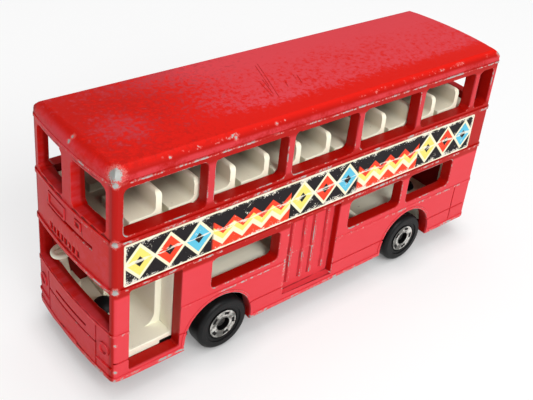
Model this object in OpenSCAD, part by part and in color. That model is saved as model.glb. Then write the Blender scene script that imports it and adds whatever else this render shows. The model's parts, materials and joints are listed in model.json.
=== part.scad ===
// Pocket-size die-cast double-deck toy bus.
// Millimetres. +X is the front, +Y the entrance side, +Z up.
// The origin is on the ground, under the middle of the bus.

/* [Casting] */
// Length of the casting from the crown of the front to the crown of the rear
body_len = 75.6; // [73:0.1:78]
// Width of the casting across its flat sides
body_w = 21.2; // [20:0.1:22]
// Height of the casting from the skirt to the crown of the roof
body_h = 33.7; // [33:0.1:35]
// Height of the skirt's lower edge above the ground
skirt_z = 3.3; // [3.1:0.05:3.5]
// Thickness of the cast walls
wall = 2; // [1.7:0.05:2.1]
// Thickness of the roof
roof_t = 1.7; // [1.3:0.1:1.9]
// Radius of the rolled roof edges
roof_edge_r = 2; // [1.4:0.1:2.4]
// Rise of the roof from its sides to its middle
roof_camber = 0.25; // [0.15:0.05:0.4]
// Radius of the upright corners in plan
corner_r = 0.9; // [0.6:0.1:1.4]
// Bow of the front in plan
front_bow = 0.7; // [0.4:0.1:1]
// Bow of the rear in plan
rear_bow = 1.2; // [0.8:0.1:1.5]

/* [Mouldings on the casting] */
// Stand-out of the two rails between the decks
rail_out = 0.2; // [0.1:0.05:0.3]
// Height of each rail's face
rail_t = 0.6; // [0.5:0.05:0.7]
// Height of the lower rail above the skirt, to its middle
lower_rail_h = 15.5; // [15.3:0.05:15.7]
// Height of the upper rail above the skirt, to its middle
upper_rail_h = 22.95; // [22.7:0.05:23.1]
// Height of the gutter above the skirt, to its middle
gutter_h = 31.55; // [31.4:0.05:31.7]
// Height of the waist bead above the skirt, to its middle
bead_h = 8.1; // [7.9:0.05:8.3]
// Face height of the gutter and the waist bead
bead_t = 0.45; // [0.3:0.05:0.6]
// Stand-out of the gutter and the waist bead
bead_out = 0.12; // [0.08:0.02:0.2]
// Height of the skirt's lip
lip_t = 0.8; // [0.6:0.1:1]
// Height of the panel joint above the skirt
panel_joint_h = 3.3; // [3:0.1:3.6]
// Width of the panel joints and other engraved lines
line_w = 0.3; // [0.2:0.05:0.4]
// Depth of the panel joints and other engraved lines
line_d = 0.18; // [0.1:0.02:0.25]

/* [Upper windows] */
// Full-size windows along each side of the upper deck
upper_wins = 5; // [4:1:6]
// Width of the pillars between the side windows
upper_pillar_w = 1.2; // [1:0.05:2]
// Height of the upper deck's windows
upper_win_h = 6.9; // [6:0.1:7.1]
// Height of the upper deck's window sills above the skirt
upper_sill_h = 23.75; // [23.65:0.05:24]
// Distance from the front corner to the first side window
upper_first = 1.4; // [1.2:0.1:1.6]
// Length of the small quarter window at the rear
quarter_w = 3.5; // [3:0.1:3.6]
// Width of the post from the quarter window to the rear corner
rear_post_w = 1.05; // [0.9:0.05:1.4]
// Radius of the window corners
win_r = 0.8; // [0.4:0.1:1.2]
// Width of the pillar between the two front windows
front_pillar_w = 2.4; // [2:0.1:3]
// Width of each upright post beside the upper front windows
front_post_w = 1.6; // [1.3:0.1:1.8]
// Width of each upright post beside the upper rear window
rear_win_post_w = 3.6; // [3:0.1:5]

/* [Lower windows and doors] */
// Height of the lower deck's windows
lower_win_h = 5.3; // [5:0.1:5.6]
// Height of the lower deck's window sills above the skirt
lower_sill_h = 9.15; // [8.9:0.05:9.3]
// Distance from the front corner to the entrance
entrance_x = 2.35; // [2.1:0.05:2.6]
// Length of the entrance
entrance_w = 8.2; // [7.8:0.1:8.6]
// Height of the entrance's sill above the skirt
entrance_sill_h = 1.2; // [1.1:0.05:1.3]
// Height of the top of the entrance above the skirt
entrance_top_h = 14.95; // [14.6:0.05:15]
// Distance from the front corner to the first saloon window
window_a_x = 15.6; // [15.4:0.05:15.9]
// Length by which the second saloon window is shorter than the first
window_b_less = 0.2; // [0:0.1:0.6]
// Length by which the third saloon window is shorter than the first
window_c_less = 1.1; // [0.5:0.1:2]
// Width of the pillar between the second and third saloon windows
saloon_pillar_w = 1.6; // [1.2:0.1:2]
// Width of the panel from the third saloon window to the rear corner
rear_panel_w = 6.8; // [6.4:0.1:7.2]
// Length of the middle door
door_w = 10.4; // [10:0.1:10.8]
// Width of the post in front of the middle door
door_front_post_w = 1.7; // [1.4:0.1:2]
// Width of the post behind the middle door
door_rear_post_w = 2.3; // [2:0.1:2.6]
// Height of the middle door's sill above the skirt
door_sill_h = 1.5; // [1.2:0.1:1.8]
// Depth of the middle door behind the side
door_recess = 1.2; // [0.8:0.05:1.3]
// Width of a rib on the middle door
door_rib_w = 0.5; // [0.4:0.05:0.7]
// Stand-out of the ribs from the middle door's leaves
door_rib_out = 0.5; // [0.3:0.05:0.7]
// Distance of the inner ribs from the middle of the door
door_rib_inner = 1; // [0.8:0.05:1.3]
// Distance of the outer ribs from the middle of the door
door_rib_outer = 3.6; // [3:0.1:4]
// Rise of the ribs' feet above the door's sill
door_rib_foot = 1.4; // [1:0.1:2]
// Width of each upright post beside the lower rear window
rear_low_post_w = 5.1; // [4:0.1:6]

/* [Front and rear] */
// Width of each upright post beside the windscreen
windscreen_post_w = 0.85; // [0.7:0.05:1.5]
// Half the width of the grille panel, to its upright lines
grille_half_w = 6.7; // [6.2:0.1:7]
// Half the length of the short grille line
grille_slot_half_w = 4.3; // [3.5:0.1:5]
// Drop of the short grille line below the waist bead
grille_slot_drop = 2.2; // [2:0.1:2.5]
// Drop of the long grille line below the waist bead
grille_line_drop = 3.5; // [3.2:0.1:3.8]
// Diameter of the lamp rings
lamp_d = 2.2; // [1.8:0.1:2.4]
// Distance of the lamps' middles from the sides of the casting
lamp_in = 2; // [1.8:0.1:2.3]
// Height of the lamps above the skirt
lamp_h = 4.9; // [4.6:0.1:5.2]
// Height of the bumper ends above the skirt
bumper_h = 2.3; // [2:0.1:2.6]
// Length of the bumper ends across the front
bumper_w = 3.2; // [2.8:0.1:3.6]
// Width of the number plate's edge
plate_w = 3.6; // [3:0.1:5]
// Half the length of the slot across the front's upper panel
blind_slot_half_w = 5.9; // [5:0.1:6.5]
// Drop of that slot below the upper rail
blind_slot_drop = 3.1; // [2.9:0.1:3.3]
// Depth of that slot
blind_slot_d = 0.6; // [0.3:0.05:1]
// Height of the large blind box
blind_box_h = 2.1; // [1.8:0.1:2.3]
// Width of the large blind box
blind_box_w = 4.9; // [4:0.1:5.2]
// Height of the small blind box
small_box_h = 1.3; // [1:0.1:1.6]
// Width of the small blind box
small_box_w = 1.6; // [1.2:0.1:2]
// Width of the ventilator under the slot
vent_w = 8.6; // [7:0.1:9.5]
// Height of the ventilator
vent_h = 1; // [0.7:0.1:1.3]
// Bars across the ventilator
vent_bars = 8; // [4:1:10]
// Half the width of the engine cover at the rear
cover_half_w = 7; // [6:0.1:8]
// Louvres in the engine cover
louvres = 5; // [3:1:5]
// Distance from one louvre to the next
louvre_pitch = 1.1; // [0.9:0.05:1.2]
// Distance from the rear corner to the joint of the rear corner panel
corner_joint_x = 4.4; // [3.9:0.1:5.1]

/* [Running gear] */
// Diameter of the tyres
tyre_d = 8.8; // [8.4:0.1:9]
// Radius of the tyres' shoulders
tyre_shoulder = 0.7; // [0.4:0.05:0.9]
// Width of the tyres
tyre_w = 3.2; // [2.8:0.1:3.4]
// Distance of the tyres' outer faces behind the casting's side
tyre_inset = 0.2; // [0:0.05:0.4]
// Diameter of the wheel's bright hub
hub_d = 4.8; // [4.4:0.1:5.2]
// Diameter of the recess that takes the head of the axle
hub_recess_d = 2.2; // [2:0.05:2.6]
// Diameter of the axle wire
axle_d = 1.2; // [1:0.05:1.3]
// Radial clearance of the axle in its wheels
axle_fit = 0.05; // [0.02:0.01:0.08]
// Drop of an axle in its trough when the bus is lifted
axle_drop = 0.4; // [0.2:0.05:0.45]
// Distance from the front corner to the front axle
front_axle_x = 18.55; // [18.4:0.05:18.8]
// Distance from the rear corner to the rear axle
rear_axle_x = 16.2; // [16:0.05:16.4]
// Distance from the front corner to the middle of the front wheel arch
front_arch_x = 17.4; // [17.3:0.05:17.8]
// Distance from the rear corner to the middle of the rear wheel arch
rear_arch_x = 16.4; // [16.1:0.05:16.5]
// Radius of the wheel arches
arch_r = 6; // [5.9:0.05:6.2]
// Height of the arches' middles above the skirt
arch_rise = 1.2; // [1:0.05:1.4]
// Width of the lip round a wheel arch
arch_lip = 0.45; // [0.3:0.05:0.6]

/* [Base and rivets] */
// Thickness of the base plate
base_t = 0.8; // [0.7:0.05:0.9]
// Thickness of the two lugs inside the casting
lug_t = 0.6; // [0.5:0.05:0.8]
// Diameter of the rivet shanks
rivet_d = 1.8; // [1.5:0.1:2]
// Diameter of the rivets' domed heads
rivet_head_d = 3.6; // [3.2:0.1:4]
// Height of the rivets' domed heads
rivet_head_h = 1.3; // [1:0.1:1.6]
// Height of the moulded boss under the front rivet's head
rivet_boss_h = 1.4; // [1:0.1:1.8]
// Distance from the front crown to the front rivet
front_rivet_x = 5.4; // [5:0.1:5.8]
// Distance from the rear crown to the rear rivet
rear_rivet_x = 6; // [5.6:0.1:6.4]

/* [Interior] */
// Thickness of the floors of the two decks
floor_t = 0.8; // [0.7:0.05:1]
// Height of the upper deck's floor above the skirt, to its underside
upper_floor_h = 21.9; // [21.6:0.05:22]
// Clearance of the plates and mouldings inside the casting
inside_fit = 0.15; // [0.1:0.01:0.2]
// Distance from the front corner to the back of the first row of seats
first_seat_x = 8.2; // [7.8:0.1:8.6]
// Length kept clear between the last row's backs and the rear corner
seat_tail = 5; // [4.5:0.1:8]
// Distance from one row of seats to the next
seat_pitch = 5.9; // [5.6:0.05:6]
// Height of the seat cushions above their floor
cushion_h = 1.3; // [1:0.1:1.4]
// Height of the seat backs above their cushions
back_h = 3.1; // [2.6:0.1:3.4]
// Thickness of the seat backs
back_t = 0.9; // [0.7:0.05:1.1]
// Clear length between a seat's cushion and the back in front of it
seat_gap = 1.1; // [0.8:0.1:1.6]
// Width of the gangway between the seats
gangway_w = 3; // [2.4:0.1:4]
// Height of the front bench boxes above the lower floor
bench_h = 6.2; // [5.6:0.1:6.4]
// Thickness of the moulded walls of the lower deck
mould_t = 1; // [0.8:0.05:1.2]
// Forward step of the cab's part of the bulkhead
bulkhead_step = 1; // [0.6:0.1:1.4]
// Outer radius of the rounded box over the rear wheels
wheel_box_r = 7.2; // [6.9:0.05:7.3]
// Diameter of the steering wheel
steering_d = 3.2; // [2.8:0.1:3.3]
// Length of the steering column
steering_h = 8.1; // [7.8:0.1:8.4]
// Forward lean of the steering column in degrees
steering_lean = 10; // [6:1:12]

/* [Label] */
// Distance from the rear end of the paper label to the rear corner
label_tail = 3.7; // [3:0.1:10]
// Height of the paper label
label_h = 6.5; // [6:0.05:6.6]
// Thickness of the paper label
label_t = 0.08; // [0.06:0.01:0.1]

/* [Hidden] */
$fn = 96;

// Colours of the pieces
paint_red = [0.78, 0.07, 0.05];
cream = [0.93, 0.89, 0.77];
black = [0.10, 0.10, 0.11];
steel = [0.72, 0.72, 0.70];
paper = [0.95, 0.90, 0.70];

// Small overlap that keeps cuts clear of coincident faces
eps = 0.02;
// Reach of a cut beyond the casting
past = 3;
// Reach of a window's cut into the saloon
cut_in = 0.4;
// Reach of an end window's cut past the wall, as a share of that end's bow
end_cut_in = 0.9;
// Stand-out that makes rounded faces cross where they would only touch
cross_out = 0.02;

// Reference planes of the casting
half_l = body_len / 2;
half_w = body_w / 2;
front_corner = half_l - front_bow;
rear_corner = -half_l + rear_bow;
span = front_corner - rear_corner;
roof_z = skirt_z + body_h;
lower_rail_z = skirt_z + lower_rail_h;
upper_rail_z = skirt_z + upper_rail_h;
gutter_z = skirt_z + gutter_h;
bead_z = skirt_z + bead_h;
upper_sill_z = skirt_z + upper_sill_h;
lower_sill_z = skirt_z + lower_sill_h;
front_r = (half_w * half_w + front_bow * front_bow) / (2 * front_bow);
rear_r = (half_w * half_w + rear_bow * rear_bow) / (2 * rear_bow);
camber_r = (half_w * half_w + roof_camber * roof_camber) / (2 * roof_camber);

// Places across the front of the blind boxes and the ventilator
blind_box_y = -3;
small_box_y = 2.75;
vent_y = -1.2;
lamp_rim_w = 1.2 * line_w;

// Rows of openings, as distances from the front corner and lengths
upper_pitch = (span - upper_first - quarter_w - rear_post_w) / upper_wins;
upper_side = concat(
    [for (i = [0:upper_wins - 1]) [upper_first + i * upper_pitch, upper_pitch - upper_pillar_w]],
    [[upper_first + upper_wins * upper_pitch, quarter_w]]);
saloon_solid = window_a_x + door_front_post_w + door_w + door_rear_post_w + saloon_pillar_w + rear_panel_w;
window_a_w = (span - saloon_solid + window_b_less + window_c_less) / 3;
window_b_w = window_a_w - window_b_less;
window_c_w = window_a_w - window_c_less;
door_x = window_a_x + window_a_w + door_front_post_w;
window_b_x = door_x + door_w + door_rear_post_w;
window_c_x = window_b_x + window_b_w + saloon_pillar_w;
saloon_near = [[window_a_x, window_a_w], [window_b_x, window_b_w], [window_c_x, window_c_w]];
saloon_far = concat(saloon_near, [[entrance_x, entrance_w], [door_x, door_w]]);

// Running gear
tyre_r = tyre_d / 2;
axle_r = axle_d / 2;
axle_z = tyre_r;
tyre_out_y = half_w - tyre_inset;
tyre_in_y = tyre_out_y - tyre_w;
front_axle_at = front_corner - front_axle_x;
rear_axle_at = rear_corner + rear_axle_x;
wheel_gap = 0.45;
trough_end_y = tyre_in_y - wheel_gap;
hub_recess_depth = 1.3;
head_t = 0.5;
head_gap = 0.05;
head_r = hub_recess_d / 2 - 0.15;
trough_t = 0.5;
trough_side = 1.1;
channel_fit = 0.08;
stop_fit = 0.02;
notch_fit = 0.6;

// Levels inside the casting
base_inset = 0.1;
base_z = skirt_z + base_inset;
base_top = base_z + base_t;
lower_floor_z = base_top + lug_t;
lower_floor_top = lower_floor_z + floor_t;
upper_floor_z = skirt_z + upper_floor_h;
upper_floor_top = upper_floor_z + floor_t;
axle_stop_z = axle_z + axle_r + stop_fit;

// Rivets
front_rivet_at = half_l - front_rivet_x;
rear_rivet_at = -half_l + rear_rivet_x;
rivet_fit = 0.05;
rivet_hole_r = rivet_d / 2 + rivet_fit;
boss_rim = 0.4;
lug_w = 6;
tail_t = 0.4;
tail_rim = 0.5;

// Interior
inner_w = body_w - 2 * wall;
deck_w = inner_w - 2 * inside_fit;
bulkhead_x = front_corner - entrance_x - entrance_w;
bench_end_x = front_corner - door_x + wall / 5;
bench_top_z = lower_floor_top + bench_h;
half_deck = deck_w / 2;
cab_step_in = 2.85;
cab_fillet_r = 2;
threshold_w = 1;
threshold_fit = 0.05;
threshold_gap = 1.8;
step_y = half_deck - cab_step_in;
stop_y = half_deck / 2;
stop_w = 2 * axle_d;
post_r = 0.9;
post_in = 2.2;
post_x = rear_corner + wall + post_in;
seat_rows = floor((span - first_seat_x - seat_tail) / seat_pitch) + 1;
driver_seat_rise = 2;
driver_seat = [3, 5, cushion_h + driver_seat_rise];
pedestal = [2, 2.8, 2.3];
steering_in = 3.1;
steering_gap = 0.05;
steering_at = [front_corner - steering_in, steering_d / 2 + steering_gap - half_deck];
column_r = 0.58;
rim_r = 0.38;

// Rectangle with rounded corners, about its middle
module rounded_rect(w, h, r) {
    square([w - 2 * r, h], center = true);
    square([w, h - 2 * r], center = true);
    for (x = [-1, 1], y = [-1, 1])
        translate([x * (w / 2 - r), y * (h / 2 - r)]) circle(r);
}

// Corner radius of the casting's plan grown by g, or shrunk where g is negative
function plan_r(g) = max(corner_r + g, 0.4);

// Half width between the corner arcs of the casting's plan grown by g
function flat_w(g) = half_w + g - plan_r(g);

// Places along the bus where the corner arcs meet the bows of the front and the rear
function front_end(g) = half_l - front_r + sqrt(pow(front_r + g, 2) - pow(flat_w(g), 2));
function rear_end(g) = rear_r - half_l - sqrt(pow(rear_r + g, 2) - pow(flat_w(g), 2));

// Straight part of the plan with its corner arcs, with its sides let out by out
module corner_plan(g, out) {
    translate([(rear_end(g) + front_end(g)) / 2, 0])
        rounded_rect(front_end(g) - rear_end(g) + 2 * out, 2 * (half_w + g + out), plan_r(g));
}

// Plan of the casting grown by g: bowed ends and rounded corners
module plan(g) {
    corner_plan(g, 0);
    intersection() {
        square([2 * body_len, 2 * flat_w(g)], center = true);
        bow_plan(1, front_r + g, half_l - front_r);
        bow_plan(-1, rear_r + g, half_l - rear_r);
    }
}

// Disc of one end's bow, run on as a strip to beyond the other end: end is 1 for the front
module bow_plan(end, r, at) {
    scale([end, 1]) translate([at, 0]) {
        circle(r, $fn = 360);
        translate([-2 * body_len, -body_w]) square([2 * body_len - past, 2 * body_w]);
    }
}

// Slab of the casting's plan between two heights
module slab(g, z0, z1) {
    translate([0, 0, z0]) linear_extrude(z1 - z0) plan(g);
}

// Turned bow of an end, a disc of radius r with a rolled top edge, run on to beyond the other end
module bow(end, r, at, z0, z1, edge) {
    translate([end * at, 0, 0]) {
        rotate_extrude($fn = 360) {
            translate([0, z0]) square([r, z1 - edge - z0]);
            translate([0, z0]) square([r - edge, z1 - z0]);
            translate([r - edge, z1 - edge]) circle(edge, $fn = 64);
        }
        translate([end > 0 ? -2 * body_len : past, -body_w, z0 - past])
            cube([2 * body_len - past, 2 * body_w, z1 - z0 + 2 * past]);
    }
}

// Long section of the sides with rolled edges and the cambered roof
module side_section(w, z0, z1, edge) {
    rotate([90, 0, 90]) translate([0, 0, -half_l - past]) linear_extrude(body_len + 2 * past)
        intersection() {
            union() {
                translate([-w, z0]) square([2 * w, z1 - edge - z0]);
                translate([-w + edge, z0]) square([2 * (w - edge), z1 - z0]);
                for (s = [-1, 1]) translate([s * (w - edge), z1 - edge]) circle(edge, $fn = 64);
            }
            translate([0, z1 - camber_r]) circle(camber_r, $fn = 360);
        }
}

// Solid of the casting's shape grown by g, with its crown at z1 and its top edges rolled
module shape(g, z0, z1, edge) {
    intersection() {
        translate([0, 0, z0]) linear_extrude(z1 - z0 + past) {
            corner_plan(g, cross_out);
            square([2 * body_len, 2 * flat_w(g)], center = true);
        }
        side_section(half_w + g, z0 - past, z1, edge);
        bow(1, front_r + g, half_l - front_r, z0 - 2 * past, z1 + cross_out, edge);
        bow(-1, rear_r + g, half_l - rear_r, z0 - 3 * past, z1 + 2 * cross_out, edge);
    }
}

// Cut for a window in one side: side is 1 for the entrance side and -1 for the other
module side_cut(side, from, w, z, h, r) {
    translate([front_corner - from - w / 2, side * half_w, z + h / 2]) rotate([90, 0, 0])
        linear_extrude(2 * (wall + cut_in), center = true) rounded_rect(w, h, r);
}

// Cut for a window in the front or the rear: end is 1 for the front
module end_cut(end, y0, y1, z, h, r) {
    translate([end * half_l, (y0 + y1) / 2, z + h / 2]) rotate([90, 0, 90])
        linear_extrude(2 * (wall + end_cut_in * (end > 0 ? front_bow : rear_bow)), center = true)
            rounded_rect(y1 - y0, h, r);
}

// Skin of the casting from depth d below the face to beyond the rails
module skin(d, z0, z1) {
    difference() {
        slab(1, z0, z1);
        slab(-d, z0 - 1, z1 + 1);
    }
}

// Level line or strip on the front or rear face, by its middle, length and height
module face_line(end, y, w, z, h) {
    face_block(end, y - w / 2, y + w / 2, z - h / 2, z + h / 2);
}

// Block that picks a stretch of the front or rear face
module face_block(end, y0, y1, z0, z1) {
    translate([end > 0 ? half_l - past : -half_l - past, y0, z0]) cube([2 * past, y1 - y0, z1 - z0]);
}

// Engraved lines of the front: grille, panel edges, blind slot and ventilator
module front_lines() {
    slot_z = upper_rail_z - blind_slot_drop;
    vent_z = lower_rail_z + rail_t / 2 + vent_h;
    bar = vent_w / vent_bars;
    intersection() {
        skin(blind_slot_d, slot_z - line_w, slot_z + line_w);
        face_line(1, 0, 2 * blind_slot_half_w, slot_z, 1.5 * line_w);
    }
    intersection() {
        skin(1.5 * line_d, skirt_z - 1, upper_rail_z);
        union() {
            face_line(1, 0, 2 * grille_slot_half_w, bead_z - grille_slot_drop, 1.5 * line_w);
            face_line(1, 0, 2 * grille_half_w, bead_z - grille_line_drop, line_w);
            for (s = [-1, 1])
                face_block(1, s * grille_half_w - line_w / 2, s * grille_half_w + line_w / 2,
                           skirt_z + lip_t, bead_z - bead_t / 2);
            for (i = [0:vent_bars - 1])
                face_line(1, vent_y + (i - (vent_bars - 1) / 2) * bar, bar - line_w, vent_z, vent_h);
        }
    }
}

// Frame round a blind box on the front, by its middle, width and height
module blind_frame(y, w, h) {
    z = upper_rail_z - rail_t - h / 2;
    difference() {
        face_line(1, y, w, z, h);
        face_line(1, y, w - 2 * line_w, z, h - 2 * line_w);
    }
}

// Raised marks of the front: blind boxes, lamp rings, bumper ends and plate edge
module front_marks() {
    intersection() {
        slab(rail_out, skirt_z, upper_rail_z);
        union() {
            blind_frame(blind_box_y, blind_box_w, blind_box_h);
            blind_frame(small_box_y, small_box_w, small_box_h);
            for (y = [lamp_in - half_w, half_w - lamp_in]) {
                translate([half_l - past, y, skirt_z + lamp_h]) rotate([0, 90, 0]) difference() {
                    cylinder(h = 2 * past, d = lamp_d);
                    translate([0, 0, -1]) cylinder(h = 2 * past + 2, d = lamp_d - 2 * lamp_rim_w);
                }
                face_line(1, y, bumper_w, skirt_z + bumper_h, line_w);
            }
            face_line(1, 0, plate_w, skirt_z + lip_t + line_w / 2, line_w);
        }
    }
}

// Engraved lines of the rear: engine cover and its louvres
module rear_lines() {
    louvre_z = skirt_z + panel_joint_h - louvre_pitch;
    intersection() {
        skin(line_d, skirt_z, lower_rail_z);
        union() {
            for (s = [-1, 1])
                face_block(-1, s * cover_half_w - line_w / 2, s * cover_half_w + line_w / 2,
                           skirt_z + lip_t, bead_z - bead_t / 2);
            for (i = [0:louvres - 1])
                face_line(-1, 0, 2 * (cover_half_w - 2), louvre_z + i * louvre_pitch, 1.5 * line_w);
        }
    }
}

// Upright joints of the rear corner panels in both sides
module corner_joints() {
    intersection() {
        skin(line_d, skirt_z + lip_t, bead_z - bead_t / 2);
        translate([rear_corner + corner_joint_x - line_w / 2, -half_w - past, skirt_z])
            cube([line_w, body_w + 2 * past, body_h]);
    }
}

// Folding middle door: a recess with ribs on its leaves
module middle_door_cut() {
    mid_x = front_corner - door_x - door_w / 2;
    sill_z = skirt_z + door_sill_h;
    h = lower_rail_z - rail_t / 2 - sill_z;
    translate([mid_x, half_w - door_recess, sill_z])
        difference() {
            translate([-door_w / 2, 0, 0]) cube([door_w, door_recess + past, h]);
            for (s = [-1, 1], at = [door_rib_inner, door_rib_outer])
                translate([s * at - door_rib_w / 2, -1, door_rib_foot])
                    cube([door_rib_w, door_rib_out + 1, h - door_rib_foot + 1]);
        }
}

// Lug inside one end of the casting, clamped between the base and the lower floor
module lug(end, at) {
    difference() {
        intersection() {
            slab(-wall / 2, base_top, lower_floor_z);
            translate([end > 0 ? at - lug_w / 2 : -half_l, -lug_w / 2, base_top])
                cube([half_l - abs(at) + lug_w / 2, lug_w, lug_t]);
        }
        translate([at, 0, base_top - 1]) cylinder(h = lug_t + 2, r = rivet_hole_r);
    }
}

// Wheel arch opening or its lip, as a disc through both sides
module arch_disc(x, r, depth) {
    for (s = [-1, 1])
        translate([x, s * (half_w + past - depth / 2), skirt_z + arch_rise]) rotate([90, 0, 0])
            cylinder(h = depth, r = r, center = true);
}

module body_shell() {
    front_arch_at = front_corner - front_arch_x;
    rear_arch_at = rear_corner + rear_arch_x;
    win_top = upper_sill_z + upper_win_h;
    lower_top = skirt_z + entrance_top_h;
    color(paint_red) {
        difference() {
            union() {
                shape(0, skirt_z, roof_z, roof_edge_r);
                slab(bead_out, skirt_z, skirt_z + lip_t);
                slab(bead_out, bead_z - bead_t / 2, bead_z + bead_t / 2);
                slab(rail_out, lower_rail_z - rail_t / 2, lower_rail_z + rail_t / 2);
                slab(rail_out, upper_rail_z - rail_t / 2, upper_rail_z + rail_t / 2);
                slab(bead_out, gutter_z - bead_t / 2, gutter_z + bead_t / 2);
                front_marks();
                intersection() {
                    slab(bead_out, skirt_z, bead_z);
                    for (x = [front_arch_at, rear_arch_at])
                        arch_disc(x, arch_r + arch_lip, wall + past);
                }
            }
            shape(-wall, skirt_z - 1, roof_z - roof_t, max(roof_edge_r - wall, 0.4));
            for (x = [front_arch_at, rear_arch_at]) arch_disc(x, arch_r, 2 * (wall + past));
            for (s = [-1, 1], win = upper_side)
                side_cut(s, win[0], win[1], upper_sill_z, upper_win_h, win_r);
            for (win = saloon_near)
                side_cut(1, win[0], win[1], lower_sill_z, lower_win_h, win_r);
            for (win = saloon_far)
                side_cut(-1, win[0], win[1], lower_sill_z, lower_win_h, win_r);
            side_cut(1, entrance_x, entrance_w, skirt_z + entrance_sill_h,
                     entrance_top_h - entrance_sill_h, win_r / 2);
            for (s = [-1, 1])
                end_cut(1, s > 0 ? front_pillar_w / 2 : -half_w + front_post_w,
                        s > 0 ? half_w - front_post_w : -front_pillar_w / 2,
                        upper_sill_z, upper_win_h, win_r);
            end_cut(1, -half_w + windscreen_post_w, half_w - windscreen_post_w, bead_z + bead_t,
                    lower_top - bead_z - bead_t, win_r / 2);
            end_cut(-1, -half_w + rear_win_post_w, half_w - rear_win_post_w, upper_sill_z, upper_win_h,
                    win_r);
            end_cut(-1, -half_w + rear_low_post_w, half_w - rear_low_post_w, lower_sill_z, lower_win_h,
                    win_r);
            skin_joint();
            corner_joints();
            front_lines();
            rear_lines();
            middle_door_cut();
        }
        lug(1, front_rivet_at);
        lug(-1, rear_rivet_at);
    }
}

// Joint line between the skirt panels and the panels above, along both sides
module skin_joint() {
    joint_z = skirt_z + panel_joint_h;
    intersection() {
        skin(line_d, joint_z - line_w / 2, joint_z + line_w / 2);
        translate([rear_corner + 1, -half_w - past, skirt_z])
            cube([body_len - 2 * corner_r - rear_bow, body_w + 2 * past, body_h]);
    }
}

// Notch for one pair of wheels through a plate
module wheel_notch(x, z0, h) {
    from_y = trough_end_y - notch_fit / 6;
    for (s = [-1, 1])
        translate([x - tyre_r - notch_fit, s > 0 ? from_y : -half_w, z0])
            cube([tyre_d + 2 * notch_fit, half_w - from_y, h]);
}

module base_plate() {
    channel_z = axle_z - axle_r - axle_drop - stop_fit;
    trough_w = axle_d + 2 * trough_side;
    rail_w = 0.8;
    rail_drop = 0.4;
    rail_y = 4;
    color(black) difference() {
        union() {
            difference() {
                slab(-wall - inside_fit, base_z, base_top);
                for (x = [front_axle_at, rear_axle_at]) wheel_notch(x, base_z - 1, base_t + 2);
            }
            // Axle troughs
            for (x = [front_axle_at, rear_axle_at])
                translate([x - trough_w / 2, -trough_end_y, channel_z - trough_t])
                    cube([trough_w, 2 * trough_end_y, base_top - channel_z + trough_t]);
            // Chassis rails between the axles
            for (s = [-1, 1])
                translate([rear_axle_at, s * rail_y - rail_w / 2, base_z - rail_drop])
                    cube([front_axle_at - rear_axle_at, rail_w, rail_drop + base_t]);
        }
        for (x = [front_axle_at, rear_axle_at])
            translate([x - axle_r - channel_fit, -half_w, channel_z])
                cube([axle_d + 2 * channel_fit, body_w, base_top]);
        for (x = [front_rivet_at, rear_rivet_at])
            translate([x, 0, base_z - 1]) cylinder(h = base_t + 2, r = rivet_hole_r);
    }
}

// Rivet with a domed head on a seat at z and a spread tail under the base
module rivet(x, z) {
    dome_r = (rivet_head_d * rivet_head_d / 4 + rivet_head_h * rivet_head_h) / (2 * rivet_head_h);
    translate([x, 0, 0]) {
        translate([0, 0, base_z - tail_t]) cylinder(h = z - base_z + tail_t + eps, d = rivet_d);
        translate([0, 0, base_z - tail_t]) cylinder(h = tail_t, d = rivet_d + 2 * tail_rim);
        intersection() {
            translate([0, 0, z]) cylinder(h = rivet_head_h + 1, d = rivet_head_d);
            translate([0, 0, z + rivet_head_h - dome_r]) sphere(dome_r);
        }
    }
}

module front_rivet() { color(black) rivet(front_rivet_at, lower_floor_top + rivet_boss_h); }
module rear_rivet() { color(black) rivet(rear_rivet_at, lower_floor_top); }

// Headed axle wire
module axle(x) {
    end_y = tyre_out_y - hub_recess_depth + head_gap;
    translate([x, 0, axle_z]) rotate([90, 0, 0]) {
        cylinder(h = 2 * end_y, r = axle_r, center = true);
        for (s = [-1, 1])
            translate([0, 0, s * (end_y + head_t / 2)]) cylinder(h = head_t, r = head_r, center = true);
    }
}

module front_axle() { color(steel) axle(front_axle_at); }
module rear_axle() { color(steel) axle(rear_axle_at); }

// Half section of a wheel: radius along x, and y from the inner face to the outer face
module wheel_section() {
    bore_r = axle_r + axle_fit;
    hub_r = hub_d / 2;
    groove_w = 0.2;
    groove_depth = 0.35;
    wall_w = 0.55;
    wall_depth = 0.2;
    hub_depth = 0.15;
    rear_hollow_depth = 0.9;
    rear_rim = 1;
    difference() {
        union() {
            square([tyre_r - tyre_shoulder, tyre_w]);
            translate([0, tyre_shoulder]) square([tyre_r, tyre_w - 2 * tyre_shoulder]);
            for (y = [tyre_shoulder, tyre_w - tyre_shoulder])
                translate([tyre_r - tyre_shoulder, y]) circle(tyre_shoulder, $fn = 48);
        }
        square([2 * bore_r, 4 * tyre_w], center = true);
        translate([0, tyre_w - hub_depth]) square([hub_r + groove_w / 2, 1]);
        translate([hub_r, tyre_w - groove_depth]) square([groove_w, 1]);
        translate([hub_r + groove_w / 2, tyre_w - wall_depth]) square([groove_w / 2 + wall_w, 1]);
        translate([0, tyre_w - hub_recess_depth]) square([hub_recess_d / 2, 2]);
        translate([hub_r - groove_w, -1])
            square([tyre_r - rear_rim - hub_r + groove_w, 1 + rear_hollow_depth]);
    }
}

module wheel(x, side) {
    translate([x, side * tyre_in_y, axle_z]) rotate([-90 * side, 0, 0]) rotate_extrude() wheel_section();
}

module wheel_front_left() { color(black) wheel(front_axle_at, 1); }
module wheel_front_right() { color(black) wheel(front_axle_at, -1); }
module wheel_rear_left() { color(black) wheel(rear_axle_at, 1); }
module wheel_rear_right() { color(black) wheel(rear_axle_at, -1); }

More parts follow.
